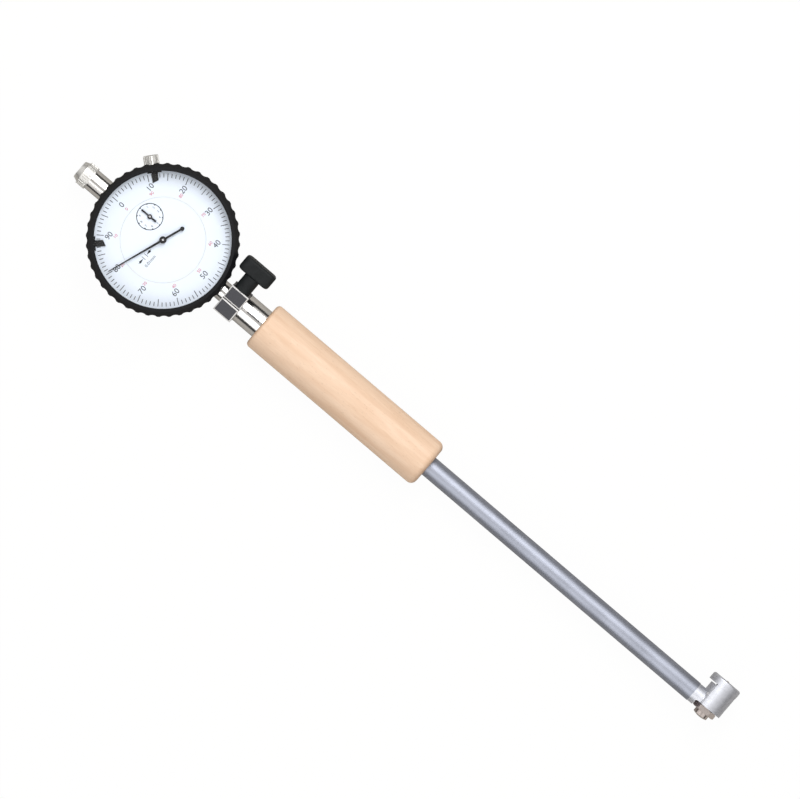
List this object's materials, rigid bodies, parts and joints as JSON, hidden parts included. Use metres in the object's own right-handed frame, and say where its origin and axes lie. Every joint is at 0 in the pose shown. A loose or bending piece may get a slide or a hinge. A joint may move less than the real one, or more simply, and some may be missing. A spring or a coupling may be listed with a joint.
{
  "type": "dial bore gauge",
  "caption": "Two-point bore gauge: a dial indicator clamped in a wooden-handled tube reads the travel of a side anvil at the probe's head.",
  "frame": {"origin": "centre of the indicator's flat back, on the dial's axis", "axes": "+Z out of the dial face, +Y towards the dust cap, the probe runs towards -Y and the moving anvil points to +X"},
  "size_m": [0.0592, 0.3248, 0.0242],
  "materials": {
    "black_finish": "satin black",
    "black_plastic": "moulded, fine matte",
    "dial_white": "smooth printed dial",
    "clear_glass": "clear",
    "case_steel": "satin",
    "polished_chrome": "polished",
    "satin_steel": "satin grey",
    "head_steel": "bright turned",
    "clamp_grey": "dark grey",
    "beech": "turned and waxed",
    "movement_brass": "machined",
    "movement_steel": "fine turned",
    "pointer_black": "matt black",
    "spring_steel": "drawn wire",
    "hard_ball": "lapped"
  },
  "bodies": {
    "gauge": {"anvil_stop_pin": "movement_steel", "back_cover": "case_steel", "bezel_retaining_ring": "spring_steel", "bridge_springs": "spring_steel", "bridge_stop_screw": "movement_steel", "clamp_ring": "clamp_grey", "cover_screws": "movement_steel", "dust_cap": "polished_chrome", "fixed_anvil": "head_steel", "hairspring": "spring_steel", "hairspring_stud": "movement_steel", "handle": "beech", "head_body": "head_steel", "indicator_case": "case_steel", "inner_dial": "dial_white", "lever_pin": "movement_steel", "lock_nut": "head_steel", "lower_plate": "movement_brass", "movement_screws": "movement_steel", "neck_tube": "polished_chrome", "plate_pillars": "movement_brass", "plate_screws": "movement_steel", "plunger_guide": "movement_brass", "plunger_spring": "spring_steel", "probe_tube": "satin_steel", "push_rod_spring": "spring_steel", "rod_bushes": "movement_brass", "spring_post": "movement_steel", "stem_sleeve": "polished_chrome", "tip_sleeve": "head_steel", "upper_plate": "movement_brass", "upper_sleeve": "polished_chrome"},
    "push_rod": {"push_rod": "movement_steel"},
    "plunger": {"plunger": "movement_steel", "contact_tip": "movement_steel", "plunger_pin": "movement_steel"},
    "rack_gear": {"rack_arbor": "movement_steel", "rack_pinion": "movement_steel", "rack_wheel": "movement_brass"},
    "centre_gear": {"centre_arbor": "movement_steel", "centre_pinion": "movement_steel", "main_pointer": "pointer_black"},
    "takeup_gear": {"takeup_arbor": "movement_steel", "takeup_wheel": "movement_brass", "small_pointer": "pointer_black"},
    "bezel": {"bezel": "black_finish", "crystal": "clear_glass", "dial_spacer_ring": "black_finish", "dial_ring": "dial_white", "dial_snap_ring": "spring_steel"},
    "left_marker": {"limit_marker_left": "pointer_black"},
    "right_marker": {"limit_marker_right": "pointer_black"},
    "bezel_lock": {"bezel_lock_screw": "satin_steel"},
    "clamp_screw": {"clamp_screw": "movement_steel", "clamp_knob": "black_plastic"},
    "lever": {"transfer_lever": "movement_steel"},
    "anvil": {"movable_anvil": "head_steel", "anvil_ball": "hard_ball"},
    "bridge": {"centring_bridge": "head_steel"}
  },
  "joints": [
    {"name": "push_rod_slide", "type": "slide", "parent": "gauge", "child": "push_rod", "axis": [0, 1, 0], "range_m": [0, 0.0012], "stiffness_N_per_m": 250, "springref_m": -0.004, "deforming": ["push_rod_spring"]},
    {"name": "anvil_slide", "type": "slide", "parent": "gauge", "child": "anvil", "axis": [-1, 0, 0], "range_m": [0, 0.0012]},
    {"name": "lever_swing", "type": "hinge", "parent": "gauge", "child": "lever", "pos_m": [0.003, -0.2729, 0.01], "axis": [0, 0, 1], "range_deg": [-23.2, 0.2]},
    {"name": "plunger_slide", "type": "slide", "parent": "gauge", "child": "plunger", "axis": [0, 1, 0], "range_m": [0, 0.0012], "deforming": ["plunger_spring"]},
    {"name": "rack_gear_turn", "type": "hinge", "parent": "gauge", "child": "rack_gear", "pos_m": [-0.0032, -0.00979, 0.0145], "axis": [0, 0, 1], "range_deg": [-0.5, 43.7]},
    {"name": "pointer_turn", "type": "hinge", "parent": "gauge", "child": "centre_gear", "pos_m": [0, 0, 0.0145], "axis": [0, 0, 1], "range_deg": [-436, 4]},
    {"name": "takeup_turn", "type": "hinge", "parent": "gauge", "child": "takeup_gear", "pos_m": [0.00356, 0.00966, 0.0145], "axis": [0, 0, 1], "range_deg": [-0.5, 43.7], "deforming": ["hairspring"]},
    {"name": "bezel_turn", "type": "hinge", "parent": "gauge", "child": "bezel", "pos_m": [0, 0, 0.02], "axis": [0, 0, 1], "continuous": true},
    {"name": "left_marker_turn", "type": "hinge", "parent": "bezel", "child": "left_marker", "pos_m": [0, 0, 0.02], "axis": [0, 0, 1], "range_deg": [-38, 131]},
    {"name": "right_marker_turn", "type": "hinge", "parent": "bezel", "child": "right_marker", "pos_m": [0, 0, 0.02], "axis": [0, 0, 1], "range_deg": [-132, 37]},
    {"name": "bezel_lock_turn", "type": "hinge", "parent": "gauge", "child": "bezel_lock", "pos_m": [0.01857, 0.02136, 0.0125], "axis": [0.6561, 0.7547, 0], "range_deg": [0, 270]},
    {"name": "clamp_screw_turn", "type": "hinge", "parent": "gauge", "child": "clamp_screw", "pos_m": [-0.00125, -0.03578, 0.0179], "axis": [0.9877, 0, 0.1564], "range_deg": [0, 360]},
    {"name": "bridge_slide", "type": "slide", "parent": "gauge", "child": "bridge", "axis": [-1, 0, 0], "range_m": [0, 0.0025], "stiffness_N_per_m": 300, "springref_m": -0.004, "deforming": ["bridge_springs"]}
  ],
  "couplings": [
    {"joint": "anvil_slide", "follows": "push_rod_slide", "ratio": 1},
    {"joint": "lever_swing", "follows": "push_rod_slide", "rad_per_m": -333.33},
    {"joint": "plunger_slide", "follows": "push_rod_slide", "ratio": 1},
    {"joint": "rack_gear_turn", "follows": "push_rod_slide", "rad_per_m": 628.32},
    {"joint": "pointer_turn", "follows": "push_rod_slide", "rad_per_m": -6283.2},
    {"joint": "takeup_turn", "follows": "push_rod_slide", "rad_per_m": 628.32}
  ]
}
